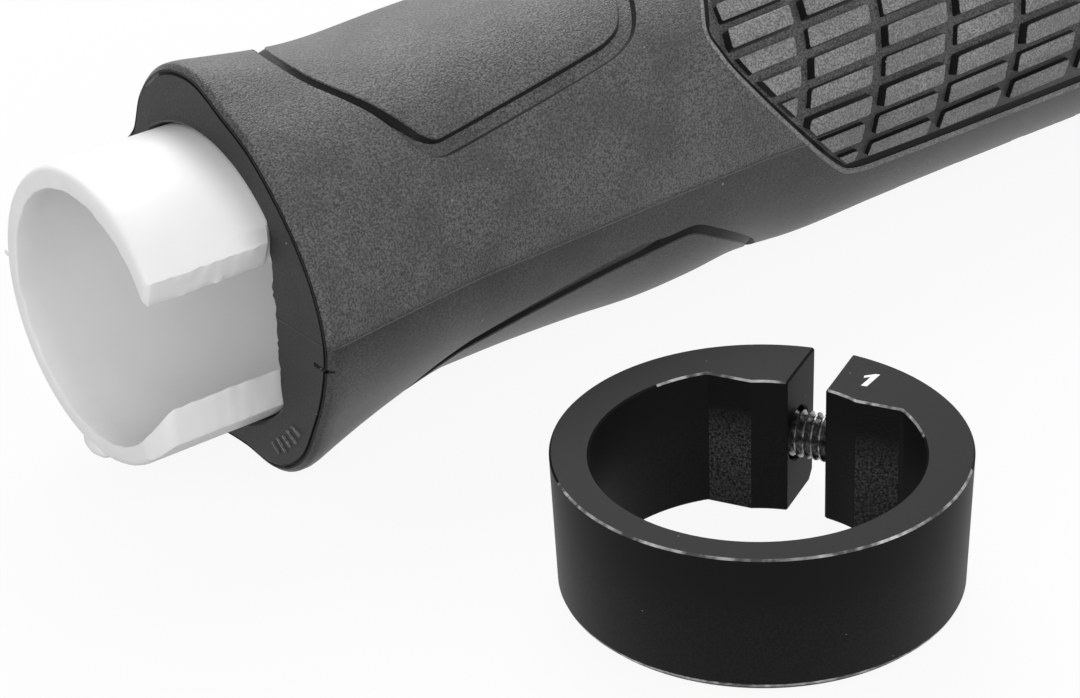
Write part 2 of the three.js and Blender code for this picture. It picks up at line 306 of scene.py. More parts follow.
def angleAt(distance):
    whole = bisect(girth, distance + girth[180]) - 1
    whole = min(len(girth) - 2, max(0, whole))
    return whole - 180 + (distance + girth[180] - girth[whole]) / (girth[whole + 1] - girth[whole])


def wrapOnGrip(piece):  # bends a flat piece (along, round, lift) onto the skin of the grip
    def wrap(point):
        place, distance, lift = point / mm
        angle = angleAt(distance)
        return onGrip(place, angle, skinRadius(place, angle) + lift)

    shapeBy(piece, wrap)


def boreEdge(angle, place):  # a flat land fills the notch of the sleeve, with ragged flash on it
    shape = gripShape
    front = math.cos(math.radians(angle))
    if place > shape["landEnd"] or front <= 0:
        return shape["innerRadius"]
    land = shape["landFlat"] / front
    if place < shape["stub"] + 0.3:
        wide = noise.noise(Vector((angle * 0.16, 0, 1.3)))
        fine = noise.noise(Vector((angle * 0.5, 0, 4.1)))
        land += shape["flash"] * (wide + 0.5 * fine) * smoothstep(front, 0.72, 0.8)
    return min(shape["innerRadius"], land)


def rubberStations():  # place, kind and amount of each ring of points, once round the section
    shape = gripShape
    end = shape["length"] - shape["endWall"]
    stub = shape["stub"]
    stations = [(end, "share", 0), (end, "share", 0.5), (end, "share", 1)]
    stations += [(mix(end, shape["landEnd"], k / 12), "bore", 0) for k in range(1, 13)]
    stations += [(shape["landEnd"] - 0.02, "bore", 0), (stub + 0.25, "bore", 0)]
    stations += [(stub, "bore", 0.25)]
    stations += [(stub, "face", t) for t in (0.2, 0.4, 0.6, 0.8, 1)]
    stations += [(stub, "groove", -0.72), (stub, "groove", -0.56), (stub, "rim", -0.44)]
    place = 0
    while place < 1:
        stations.append((stub + shape["rimRound"] * place * place, "skin", 0))
        place += 0.125
    place = stub + shape["rimRound"]
    while place < shape["length"] - shape["endRound"]:
        stations.append((place, "skin", 0))
        place += shape["step"]
    for k in range(13):
        turn = math.radians(90 * k / 12)
        back = shape["endRound"] * (1 - math.sin(turn))
        stations.append((shape["length"] - back, "skin", 0))
    stations += [(shape["length"], "cap", t) for t in (0.75, 0.5, 0.25, 0)]
    return stations


def stationRadius(kind, amount, place, angle):
    shape = gripShape
    rim = skinRadius(shape["stub"] + shape["rimRound"], angle)
    if kind == "share":
        return shape["innerRadius"] * amount
    if kind == "bore":
        return boreEdge(angle, place) + amount
    if kind == "face":
        return mix(boreEdge(angle, place) + 0.25, rim - 0.9, amount)
    if kind in ("rim", "groove"):
        return rim + amount
    if kind == "cap":
        return skinRadius(shape["length"], angle) * amount
    return skinRadius(place, angle)


def makeRubberBody():
    stations = rubberStations()
    sides = gripShape["sides"]
    deselectAll()
    bpy.ops.mesh.primitive_grid_add(x_subdivisions=len(stations) - 1, y_subdivisions=sides, size=2)
    body = named("rubberGrip")

    def roll(point):
        place, kind, amount = stations[round((point.x + 1) / 2 * (len(stations) - 1))]
        angle = 180 * (point.y + 1) - 180
        radius = stationRadius(kind, amount, place, angle)
        if kind == "groove":
            facing = math.cos(math.radians(angle - gripShape["grooveTurn"]))
            place += gripShape["rimGroove"] * smoothstep(facing, -0.1, 0.4)
        return onGrip(place, angle, radius)

    shapeBy(body, roll)
    cleanUp(body)
    return body


grooves = {  # paths as place and angle, each mirrored about its own middle
    "width": 1.75,
    "depth": 0.5,
    "wall": 0.28,
    "reach": 1.2,
    "broadShift": 0.7,
    "broadWall": 0.65,
    "thumbBroad": (28.5, 24),
    "fingerBroad": (47, 52),
    "thumb": [
        (19.8, 90), (20.8, 78), (22.3, 70), (24.1, 61), (25.7, 51.5), (26.8, 45), (28.2, 41.6),
        (30.2, 42.3), (47.2, 51.3), (50, 54.6), (51.6, 58.5), (53.3, 67.3), (54.8, 78), (55.3, 90),
    ],
    "finger": [
        (21.5, -90), (22, -72), (23, -56), (24.8, -42), (29.5, -32), (35.5, -24.6), (43.6, -18.8),
        (50, -16.3), (53.2, -15.3), (54.8, -16), (56.8, -20.5), (60.5, -30), (64.5, -44), (67, -58),
        (68.5, -90),
    ],
}


def closedPath(half, rounds=3):  # mirrors half a path and cuts its corners round
    middle = half[0][1]
    back = [(place, 2 * middle - angle) for place, angle in reversed(half[1:-1])]
    path = [Vector((place, across(angle))) for place, angle in half + back]
    for _ in range(rounds):
        path = [
            mix(path[i], path[(i + 1) % len(path)], t)
            for i in range(len(path))
            for t in (0.25, 0.75)
        ]
    return path


def hoopAlong(path, sectionAt, name, materials, slots):  # sections are (side, lift) points
    count = len(slots)
    deselectAll()
    bpy.ops.mesh.primitive_torus_add(major_segments=len(path), minor_segments=count)
    hoop = named(name)
    giveMaterials(hoop, materials)
    for face in hoop.data.polygons:
        face.material_index = slots[face.index % count]
    for i, point in enumerate(path):
        run = (path[(i + 1) % len(path)] - path[i - 1]).normalized()
        for j, (side, lift) in enumerate(sectionAt(point.x)):
            flat = Vector((point.x - side * run.y, point.y + side * run.x, lift))
            hoop.data.vertices[i * count + j].co = flat * mm
    wrapOnGrip(hoop)
    cleanUp(hoop)
    return hoop


def grooveCutter(name, materials):
    half, depth, reach = grooves["width"] / 2, grooves["depth"], grooves["reach"]
    inward = 1 if name == "thumb" else -1

    def section(place):  # from the outer edge to the panel, whose wall is broad at one end
        broad = smoothstep(place, *grooves[name + "Broad"])
        outer = grooves["broadShift"] * broad - half
        foot = half - grooves["wall"] - grooves["broadWall"] * broad
        points = [
            (outer - 0.5, reach), (outer - 0.05, 0.04), (outer + 0.02, -0.05),
            (outer + 0.3 - 0.2 * broad, -depth), (foot, -depth),
            (half - 0.04, -0.12), (half + 0.06, 0.04), (half + 0.5, reach),
        ]
        return [(side * inward, lift) for side, lift in points]

    path = closedPath(grooves[name])
    # the two walls take slot 1, painted shade
    return hoopAlong(path, section, name, materials, (0, 0, 1, 0, 1, 0, 0, 0))


bricks = {  # the rows climb a little along the grip and the columns lean
    "floor": 0.5,
    "length": 7.55,
    "width": 1.95,
    "columnPitch": 8.95,
    "rowPitch": 2.75,
    "columnDrop": 2.25,
    "rowClimb": 0.035,
    "columnLean": 0.2,
    "root": 0.4,
    "draft": 0.1,
    "cornerRound": 0.22,
    "topRound": 0.1,
    "inset": 1.3,
    "sideInset": 1.6,
    "edgeTop": 0,
    "sinkOver": 8,
    "columns": 9,
    "rows": (-14, 22),
    "shortest": 1.1,
    "thinnest": 0.6,
    "lastRoom": 3,
}
palmPad = {
    "low": -20, "high": 200, "end": 125.5, "firstColumn": 60.3, "firstTop": 47,
    "tops": (0.55, 0.15),
    "edge": [
        (-20, 75.4), (-19.2, 73.8), (-17.6, 72.4), (-7.5, 69.4), (0.7, 67.4), (12.8, 64.5), (24.6, 61.8),
        (35.1, 59.7), (41.7, 59), (48.5, 58.5), (58.8, 60.3), (72, 62.5), (90, 64),
    ],
}
lowerPad = {
    "low": -128, "high": -52, "end": 125.5, "firstColumn": 84.5, "firstTop": -60,
    "tops": (0.1, -0.05),
    "edge": [(-90, 83.5), (-70, 83.5), (-52, 84.5)],
}


def padStart(pad, angle):  # place of the pad's curved edge, the same on both sides of its middle
    middle = (pad["low"] + pad["high"]) / 2
    folded = max(angle, 2 * middle - angle) if middle < 0 else min(angle, 2 * middle - angle)
    edge = pad["edge"]
    i = next((k for k in range(1, len(edge)) if edge[k][0] >= folded), len(edge) - 1)
    t = (folded - edge[i - 1][0]) / (edge[i][0] - edge[i - 1][0])
    return mix(edge[i - 1][1], edge[i][1], min(1, max(0, t)))


def padCutter(pad, materials):  # a block with sloping walls, in layers of a lift and a spread
    layers = [(-bricks["floor"], -0.95), (-0.2, -0.15), (0.03, 0.06), (1.6, 0.6)]
    rows, columns = 24, 96
    deselectAll()
    bpy.ops.mesh.primitive_grid_add(x_subdivisions=rows, y_subdivisions=columns, size=2)
    cutter = named("padFloor")
    startEditing(cutter)
    for _ in layers[1:]:
        bpy.ops.mesh.extrude_region_move(TRANSFORM_OT_translate={"value": (0, 0, 1)})
    stopEditing()

    def spread(point):
        lift, spare = layers[round(point.z)]
        distance = mix(across(pad["low"]) - spare, across(pad["high"]) + spare, (point.y + 1) / 2)
        place = mix(padStart(pad, angleAt(distance)) - spare, pad["end"] + spare, (point.x + 1) / 2)
        return Vector((place, distance, lift)) * mm

    giveMaterials(cutter, materials)
    # the sloping walls take slot 1, painted shade
    markFaces(cutter, 1, lambda face: abs(face.normal.z) < 0.5)
    shapeBy(cutter, spread)
    wrapOnGrip(cutter)
    cleanUp(cutter)
    return cutter


def padRim(pad, materials):  # a thin raised line along the edge of a pad, with a painted highlight
    low, end = pad["low"], pad["end"]
    half = [(place, angle) for angle, place in reversed(pad["edge"])]
    half += [(77, low), (80, low), (100, low), (end - 1, low), (end, low + 1.5), (end, 30), (end, 90)]
    path = closedPath(half, 2)
    section = [(-0.3, -0.2), (-0.2, 0.02), (-0.08, 0.12), (0.06, 0.12), (0.18, 0.02), (0.28, -0.2)]
    return hoopAlong(path, lambda place: section, "padRim", materials, [2] * len(section))


def makeBrick(materials):  # one flat brick, its top at height 0 and its low corner at the origin
    size = bricks
    height = size["floor"] + max(palmPad["tops"]) + size["root"]
    deselectAll()
    bpy.ops.mesh.primitive_cube_add(size=1)
    brick = named("brick")

    def place(point):
        lean = size["draft"] * (1 if point.z > 0 else -1)
        x = size["length"] / 2 + (size["length"] - 2 * lean) * point.x
        y = size["width"] / 2 + (size["width"] - 2 * lean) * point.y
        return Vector((x, y, (point.z - 0.5) * height)) * mm

    shapeBy(brick, place)
    startEditing(brick)
    selectWhere("EDGE", lambda edge: abs(middleOf(edge).z + height * mm / 2) < 0.1 * mm)
    bpy.ops.mesh.bevel(offset=size["cornerRound"] * mm, segments=2)
    selectWhere("EDGE", lambda edge: middleOf(edge).z > -0.01 * mm)
    bpy.ops.mesh.bevel(offset=size["topRound"] * mm, segments=2)
    stopEditing()
    giveMaterials(brick, materials)
    # painted shade on the brick's walls and painted highlight on its top
    markFaces(brick, 1, lambda face: face.normal.z < 0.3)
    markFaces(brick, 2, lambda face: face.normal.z >= 0.3)
    return brick


def trimBrick(brick, pad):  # cut back along the start of its pad
    xs = [vertex.co.x / mm for vertex in brick.data.vertices]
    ys = [vertex.co.y / mm for vertex in brick.data.vertices]
    low, high = min(ys), max(ys)
    edge = [padStart(pad, angleAt(y)) + bricks["inset"] for y in (low, high)]
    if max(xs) - min(edge) < bricks["shortest"]:
        return False
    if max(edge) > min(xs):
        slope = Vector((edge[1] - edge[0], high - low, 0)).normalized()
        startEditing(brick)
        bpy.ops.mesh.select_all(action="SELECT")
        bpy.ops.mesh.bisect(
            plane_co=Vector((edge[0], low, 0)) * mm, plane_no=(-slope.y, slope.x, 0),
            clear_outer=True, use_fill=True,
        )
        stopEditing()
        # the cut face takes the painted shade too
        markFaces(brick, 1, lambda face: face.normal.z < 0.3)
    return len(brick.data.vertices) > 6


def layBrick(brick, pad, column, row):
    size = bricks
    start = pad["firstColumn"] + column * size["columnPitch"]
    drop = row * size["rowPitch"] - column * size["columnDrop"]
    low = across(pad["firstTop"]) + drop - size["width"]
    risen = smoothstep(low - across(pad["low"]), 0, size["sinkOver"])
    risen *= smoothstep(across(pad["high"]) - low - size["width"], 0, size["sinkOver"])
    short = min(1, (pad["end"] - size["inset"] - start) / size["length"])
    other = copyOf(brick, "brickCopy")
    for vertex in other.data.vertices:
        x, y = vertex.co.x * short, vertex.co.y
        vertex.co.x = (start + size["columnLean"] * drop) * mm + x + size["columnLean"] * y
        vertex.co.y = low * mm + y + size["rowClimb"] * x
        vertex.co.z += mix(size["edgeTop"], pad["tops"][(row + column) % 2], risen) * mm
    return other


def layBricks(pad, brick):
    size = bricks
    laid = []
    low = across(pad["low"]) + size["sideInset"]
    high = across(pad["high"]) - size["sideInset"]
    for column in range(size["columns"]):
        if pad["firstColumn"] + column * size["columnPitch"] > pad["end"] - size["lastRoom"]:
            break
        for row in range(*size["rows"]):
            top = across(pad["firstTop"]) + row * size["rowPitch"] - column * size["columnDrop"]
            if top < low + size["thinnest"] or top - size["width"] > high - size["thinnest"]:
                continue
            other = layBrick(brick, pad, column, row)
            squeeze(other, low, high)
            if trimBrick(other, pad):
                laid.append(other)
            else:
                bpy.data.objects.remove(other)
    return laid


def squeeze(brick, low, high):  # a brick that would cross the long edge of its pad ends at it
    for vertex in brick.data.vertices:
        vertex.co.y = min(high * mm, max(low * mm, vertex.co.y))


def inRimGroove(face):  # the thin line that runs round the face of the flange, painted with shade
    shape = gripShape
    place = (face.center.x - mouthX) / mm - shape["stub"]
    out = Vector((axisY - face.center.y, face.center.z - axisZ)) / mm
    angle = math.degrees(math.atan2(out.y, out.x))
    depth = skinRadius(shape["stub"] + shape["rimRound"], angle) - out.length
    low, high = shape["grooveBand"]
    facing = math.cos(math.radians(angle - shape["grooveTurn"]))
    return low < depth < high and place < shape["rimRound"] and facing > 0.15


ticks = {  # the strokes lean, thin out towards their tops and take turns in length
    "count": 5,
    "radius": 15.9,
    "first": -56,
    "step": 4.2,
    "length": 1.5,
    "shorter": 0.2,
    "width": 0.24,
    "taper": 0.4,
    "height": 0.18,
    "root": 0.2,
    "lean": 0.3,
}


def makeTicks(materials):  # short raised strokes moulded on the face of the flange
    made = []
    for i in range(ticks["count"]):
        deselectAll()
        bpy.ops.mesh.primitive_cube_add(size=1)
        tick = named("tick")

        def place(point):
            angle = math.radians(ticks["first"] + i * ticks["step"])
            outward = point.y * ticks["length"] * (1 - ticks["shorter"] * (1 - i % 2))
            side = point.z * ticks["width"] * (1 - ticks["taper"] * (point.x < 0))
            depth = gripShape["stub"] + (ticks["root"] if point.x > 0 else -ticks["height"])
            radius = ticks["radius"] + outward
            turn = angle + (side + ticks["lean"] * outward) / radius
            return onGrip(depth, math.degrees(turn), radius)

        shapeBy(tick, place)
        cleanUp(tick)
        giveMaterials(tick, materials)
        # the strokes take slot 2, the lighter rubber of painted highlight
        markFaces(tick, 2, lambda face: True)
        made.append(tick)
    return made


nick = {
    "radius": 17.6,
    "angle": -7,
    "length": 3.2,
    "mouth": 0.55,
    "foot": 0.12,
    "lean": 0.35,
    "depth": 0.9,
    "in": 0.15,
}


def nickCutter():  # a small tear in the rim of the flange
    deselectAll()
    bpy.ops.mesh.primitive_cube_add(size=1)
    cutter = named("nick")

    def place(point):
        wedge = nick["mouth"] if point.x < 0 else nick["foot"]
        radius = nick["radius"] + point.y * nick["length"]
        turn = (point.z * wedge + nick["lean"] * point.y) / radius
        depth = gripShape["stub"] + nick["in"] + point.x * nick["depth"]
        return onGrip(depth, nick["angle"] + math.degrees(turn), radius)

    shapeBy(cutter, place)
    cleanUp(cutter)
    return cutter


def makeRubber(materials):
    body = makeRubberBody()
    print("rubber body", len(body.data.polygons))
    giveMaterials(body, materials)
    faceX = mouthX + (gripShape["stub"] + 0.02) * mm
    # the flange's end face takes slot 3 and the rim groove slot 1, both painted shade
    markFaces(body, 3, lambda face: abs(face.normal.x) > 0.8 and face.center.x < faceX)
    markFaces(body, 1, inRimGroove)
    for name in ("thumb", "finger"):
        cutWith(body, grooveCutter(name, materials))
    cutWith(body, nickCutter(), solver="MANIFOLD")
    for pad in (palmPad, lowerPad):
        cutWith(body, padCutter(pad, materials))
    print("grooves and pads cut", len(body.data.polygons))
    smoothShade(body, gripShape["smoothBelow"])
    brick = makeBrick(materials)
    laid = layBricks(palmPad, brick) + layBricks(lowerPad, brick)
    bpy.data.objects.remove(brick)
    print("bricks laid", len(laid))
    pattern = laid[0]
    joinInto(pattern, laid[1:])
    wrapOnGrip(pattern)
    smoothShade(pattern, 40)
    rim = padRim(palmPad, materials)
    smoothShade(rim, 60)
    joinInto(body, [pattern, rim] + makeTicks(materials))
    mendMesh(body)
    finishPiece(body, materials, "rubber", "rubber_grip")
    return body


sleeveShape = {
    "radius": 13.2,
    "bore": 11.3,
    "end": 133.4,
    "endWall": 2.0,
    "notchFlat": 10.1,
    "notchEnd": 14.0,
    "notchSpan": 26,
    "ragged": 0.11,
    "upperFlare": 0.5,
    "upperLean": 0.36,
    "leanFrom": 4.9,
    "lowerFlare": 2.5,
    "flareShape": 0.75,
    "edge": 0.16,
    "sides": 180,
}


def makeSleeve(materials):
    shape = sleeveShape
    inner, outer, end = shape["bore"], shape["radius"], shape["end"]
    profile = [(end - shape["endWall"], 0), (end - shape["endWall"], inner)]
    profile += [(place, inner) for place in (20, 16, 8, 2, 0.3)]
    profile += [(0.08, inner + 0.08), (0, inner + 0.3), (0, inner + 0.7), (0, outer - 0.8)]
    profile += [(0.05, outer - 0.5), (0.18, outer - 0.24), (0.4, outer - 0.08)]
    profile += [(place, outer) for place in (0.7, 2, 8, 16, end)]
    profile.append((end, 0))
    steps = len(profile) - 1
    deselectAll()
    bpy.ops.mesh.primitive_grid_add(x_subdivisions=steps, y_subdivisions=shape["sides"], size=2)
    sleeve = named("coreSleeve")

    def roll(point):
        place, radius = profile[round((point.x + 1) / 2 * steps)]
        angle = 180 * (point.y + 1)
        if place < 1 and radius < outer - 0.6:  # the mouth is trimmed by hand
            place += shape["ragged"] * noise.noise(Vector((angle * 0.13, radius, 7)))
            radius += shape["ragged"] * noise.noise(Vector((angle * 0.21, place, 2)))
        return onGrip(place, angle, radius)

    shapeBy(sleeve, roll)
    cleanUp(sleeve)
    cutWith(sleeve, notchCutter())
    softEdges(sleeve, shape["edge"] * mm, 2, 40)
    smoothShade(sleeve, 35)
    joinInto(sleeve, [trimmedMark(marks[name]) for name in ("gate", "nub")])
    finishPiece(sleeve, materials, "sleeve_plastic", "core_sleeve")
    return sleeve


marks = {  # place, angle and radius of each mark, and the height of the two trimmed ones
    "rings": [(3.6, 92, 0.9), (5.6, 84, 1.1), (5.9, 77, 0.55)],
    "gate": (0.7, -96, 4.2, 0.75),
    "nub": (0.15, 175, 0.55, 0.4),
    "sunk": 0.1,
    "ragged": 0.25,
    "breadth": 0.225,
}


def trimmedMark(mark):  # a low ragged bump on the sleeve
    place, angle, size, out = mark
    radius = sleeveShape["radius"]
    deselectAll()
    bpy.ops.mesh.primitive_uv_sphere_add(segments=20, ring_count=12, radius=1)
    bump = named("trimmedMark")

    def swell(point):
        turn = angle + math.degrees(point.y * size / 2 / radius)
        rise = out * (1 + marks["ragged"] * noise.noise(point * 2))
        return onGrip(
            place + point.x * size * marks["breadth"], turn, radius - marks["sunk"] + point.z * rise
        )

    shapeBy(bump, swell)
    cleanUp(bump)
    smoothShade(bump, 60)
    return bump


def notchCutter():  # a flat cut, a little ragged, that opens towards the mouth
    shape = sleeveShape
    deselectAll()
    bpy.ops.mesh.primitive_cube_add(size=1)
    cutter = named("notch")
    startEditing(cutter)
    bpy.ops.mesh.subdivide(number_cuts=31)
    stopEditing()
    outside = 16

    def place(point):
        x = mix(-1, shape["notchEnd"], point.x + 0.5)
        z = point.z * shape["notchSpan"]
        opening = shape["lowerFlare"] if z < 0 else shape["upperFlare"]
        near = max(0, 1 - max(0, x) / (opening * shape["flareShape"]))
        face = opening * near * near - shape["notchFlat"]
        face += shape["ragged"] * noise.noise(Vector((x * 1.3, z * 0.9, 3.1)))
        if x < gripShape["stub"] - 0.3:  # the lean stops inside the rubber's face
            face -= shape["upperLean"] * max(0, z - shape["leanFrom"])
        y = mix(-outside, face, point.y + 0.5)
        return onGrip(x, 0, 0) + Vector((0, y, z)) * mm

    shapeBy(cutter, place)
    cleanUp(cutter)
    return cutter


ringShape = {
    "radius": 16.75,
    "height": 12.3,
    "taper": 0.4,
    "lowEdge": 0.7,
    "edge": 0.16,
    "bore": 13.25,
    "boreShift": 0.85,
    "bossFlat": 10.15,
    "barRadius": 11.2,
    "slit": 3.3,
    "slitAngle": 27.6,
    "screwOut": 12.85,
    "holeRadius": 2.3,
    "pocketRadius": 2.9,
    "pocketFrom": 4.4,
    "front": -155,
    "frontSpread": 75,
    "lugFrom": 6,
}


def turnOnRing(piece):  # from the ring's own frame, slit towards x, to its place
    turn = math.radians(ringShape["slitAngle"])
    makeActive(piece)
    piece.rotation_euler = (0, 0, turn)
    piece.location = ringCentre
    bpy.ops.object.transform_apply(location=True, rotation=True, scale=True)


def addCylinder(name, radius, depth, location, vertices=128, rotation=(0, 0, 0)):
    deselectAll()
    bpy.ops.mesh.primitive_cylinder_add(
        vertices=vertices, radius=radius * mm, depth=depth * mm,
        location=Vector(location) * mm, rotation=rotation,
    )
    piece = named(name)
    bpy.ops.object.transform_apply(location=True, rotation=True, scale=True)
    return piece


def addBox(name, low, high):
    deselectAll()
    bpy.ops.mesh.primitive_cube_add(size=1)
    piece = named(name)
    shapeBy(piece, lambda p: Vector([mix(low[k], high[k], p[k] + 0.5) for k in range(3)]) * mm)
    return piece


def highlightedEdge(face):  # where the painted edge highlight goes: the outer edges at the front, and the inner top edges of the two lugs
    shape = ringShape
    x, y, height = face.center / mm
    out = math.hypot(x, y)
    turn = (math.degrees(math.atan2(y, x)) - shape["front"] + 180) % 360 - 180
    top = height > shape["height"] - 0.4
    if out > shape["radius"] - 1 and (top or 0.5 < height < 1):
        return abs(turn) < shape["frontSpread"]
    inner = out < shape["bore"] + 1.15 and abs(y) > shape["slit"] / 2 + 0.25
    return top and inner and x > shape["lugFrom"]


def makeRing(materials):
    shape = ringShape
    height, radius = shape["height"], shape["radius"]
    ring = addCylinder("clampRing", radius, height, (0, 0, height / 2), 160)
    startEditing(ring)
    selectWhere("VERT", lambda v: v.co.z < 0.1 * mm)
    scale = (radius - shape["taper"]) / radius
    bpy.ops.transform.resize(value=(scale, scale, 1), center_override=(0, 0, 0))
    selectWhere("EDGE", lambda e: middleOf(e).z < 0.1 * mm)
    bpy.ops.mesh.bevel(offset=shape["lowEdge"] * mm, segments=1)
    stopEditing()
    shift = -shape["boreShift"]
    bore = addCylinder("bore", shape["bore"], height * 2, (shift, 0, height / 2), 128)
    startEditing(bore)
    bpy.ops.mesh.select_all(action="SELECT")
    bpy.ops.mesh.bisect(
        plane_co=((shape["bossFlat"] + shift) * mm, 0, 0), plane_no=(1, 0, 0),
        clear_outer=True, use_fill=True,
    )
    stopEditing()
    cutWith(ring, bore)
    cutWith(ring, addCylinder("bar", shape["barRadius"], height * 2, (shift, 0, height / 2), 128))
    side = shape["slit"] / 2
    cutWith(ring, addBox("slit", (0, -side, -1), (radius + 2, side, height + 1)))
    lying, out, deep = (math.radians(90), 0, 0), shape["screwOut"], 20
    cutWith(ring, addCylinder("hole", shape["holeRadius"], 60, (out, 0, height / 2), 48, lying))
    pocketAt = (out, shape["pocketFrom"] + deep / 2, height / 2)
    cutWith(ring, addCylinder("headPocket", shape["pocketRadius"], deep, pocketAt, 48, lying))
    giveMaterials(ring, materials)
    cleanUp(ring, 0.00005)
    # the chamfers take slot 1, the painted edge highlight; those that the test turns down go back to slot
    # 0
    softEdges(ring, shape["edge"] * mm, 1, 35, 1, clamp=False)
    markFaces(ring, 0, lambda face: face.material_index == 1 and not highlightedEdge(face))
    flat = (shape["bossFlat"] + shift) * mm
    markFaces(ring, 2, lambda face: face.normal.x < -0.98 and abs(face.center.x - flat) < 0.2 * mm)
    smoothShade(ring, 30)
    turnOnRing(ring)
    finishPiece(ring, materials, "ring_metal", "clamp_ring")
    return ring


screwShape = {
    "radius": 2.0,
    "root": 1.58,
    "pitch": 0.7,
    "crest": 0.12,
    "tip": -8.9,
    "seat": 4.7,
    "headRadius": 2.6,
    "headHeight": 3.8,
    "headEdge": 0.2,
    "hexagon": 3.0,
    "socketDepth": 2.2,
}


def makeThread():
    shape = screwShape
    deselectAll()
    bpy.ops.mesh.primitive_circle_add(vertices=4, radius=1)
    thread = named("clampScrew")
    half, crest = shape["pitch"] / 2, shape["crest"] / 2
    outline = [
        (shape["root"], -half), (shape["radius"], -crest), (shape["radius"], crest), (shape["root"], half),
    ]
    for vertex, (out, height) in zip(thread.data.vertices, outline):
        vertex.co = Vector((out, 0, height)) * mm
    startEditing(thread)
    selectWhere("EDGE", lambda edge: middleOf(edge).x < (shape["root"] + 0.05) * mm)
    bpy.ops.mesh.delete(type="EDGE")
    stopEditing()
    screw = thread.modifiers.new("thread", "SCREW")
    screw.axis = "Z"
    screw.screw_offset = shape["pitch"] * mm
    screw.iterations = round((shape["seat"] - shape["tip"]) / shape["pitch"])
    screw.steps = 32
    screw.render_steps = 32
    screw.use_merge_vertices = True
    screw.merge_threshold = 0.00001
    applyAll(thread)
    startEditing(thread)
    bpy.ops.mesh.select_all(action="SELECT")
    bpy.ops.mesh.remove_doubles(threshold=0.00001)
    bpy.ops.mesh.select_all(action="DESELECT")
    bpy.ops.mesh.select_mode(type="EDGE")
    bpy.ops.mesh.select_non_manifold(extend=False)
    bpy.ops.mesh.edge_face_add()
    bpy.ops.mesh.select_all(action="SELECT")
    bpy.ops.mesh.quads_convert_to_tris()
    bpy.ops.mesh.normals_make_consistent(inside=False)
    stopEditing()
    shapeBy(thread, lambda point: point + Vector((0, 0, shape["tip"] * mm)))
    return thread


def makeScrew(materials):
    shape = screwShape
    screw = makeThread()
    seat, tall = shape["seat"], shape["headHeight"]
    head = addCylinder("head", shape["headRadius"], tall, (0, 0, seat + tall / 2), 48)
    corners = shape["hexagon"] / math.sqrt(3)
    cutWith(head, addCylinder("hexagon", corners, shape["socketDepth"] * 2, (0, 0, seat + tall), 6))
    softEdges(head, shape["headEdge"] * mm, 2, 35)
    joinInto(screw, [head])
    smoothShade(screw, 28)
    makeActive(screw)
    screw.rotation_euler = (math.radians(-90), 0, 0)
    screw.location = Vector((ringShape["screwOut"], 0, ringShape["height"] / 2)) * mm
    bpy.ops.object.transform_apply(location=True, rotation=True, scale=True)
    turnOnRing(screw)
    finishPiece(screw, materials, "screw_steel", "clamp_screw")
    return screw


numberMark = {  # a figure one: its outline, where it lies on the ring and how it is turned
    "outline": [
        (-0.25, -1), (0.2, -1), (0.2, 1), (-0.12, 1), (-0.78, 0.52), (-0.66, 0.2), (-0.25, 0.48),
    ],
    "size": 1.08,
    "slant": 0.25,
    "out": 13.75,
    "round": 8.3,
    "turn": -57.7,
    "thick": 0.03,
}


def makeNumber(material):
    mark = numberMark
    deselectAll()
    bpy.ops.mesh.primitive_circle_add(vertices=len(mark["outline"]), fill_type="NGON")
    number = named("ringNumber")
    for vertex, (right, up) in zip(number.data.vertices, mark["outline"]):
        vertex.co = Vector((right + mark["slant"] * up, up, 0)) * mark["size"] * mm
    startEditing(number)
    bpy.ops.mesh.select_all(action="SELECT")
    bpy.ops.mesh.extrude_region_move(TRANSFORM_OT_translate={"value": (0, 0, mark["thick"] * mm)})
    bpy.ops.mesh.select_all(action="SELECT")
    bpy.ops.mesh.normals_make_consistent(inside=False)
    stopEditing()
    turn = math.radians(mark["round"])
    number.rotation_euler = (0, 0, math.radians(mark["turn"]))
    outward = Vector((math.cos(turn), math.sin(turn), 0)) * mark["out"] * mm
    number.location = ringCentre + outward + Vector((0, 0, ringShape["height"] * mm))
    finishPiece(number, [material], "ring_metal")
    return number


def newGroup(name, inputs, outputs):
    group = bpy.data.node_groups.new(name, "ShaderNodeTree")
    for socket, kind, value in inputs:
        made = group.interface.new_socket(socket, in_out="INPUT", socket_type=kind)
        if value is not None:
            made.default_value = value
    for socket, kind in outputs:
        group.interface.new_socket(socket, in_out="OUTPUT", socket_type=kind)
    start = group.nodes.new("NodeGroupInput")
    end = group.nodes.new("NodeGroupOutput")
    return group, start, end


def feed(tree, socket, value):
    if isinstance(value, bpy.types.NodeSocket):
        tree.links.new(value, socket)
    else:
        socket.default_value = value


def addNode(tree, kind, settings=(), **inputs):
    node = tree.nodes.new(kind)
    for key, value in dict(settings).items():
        setattr(node, key, value)
    for key, value in inputs.items():  # i0, i1 and so on are sockets by number
        feed(tree, node.inputs[int(key[1:])] if key[1:].isdigit() else node.inputs[key], value)
    return node


def maths(tree, operation, a, b=None):
    inputs = {"i0": a}
    if b is not None:
        inputs["i1"] = b
    return addNode(tree, "ShaderNodeMath", {"operation": operation}, **inputs).outputs[0]


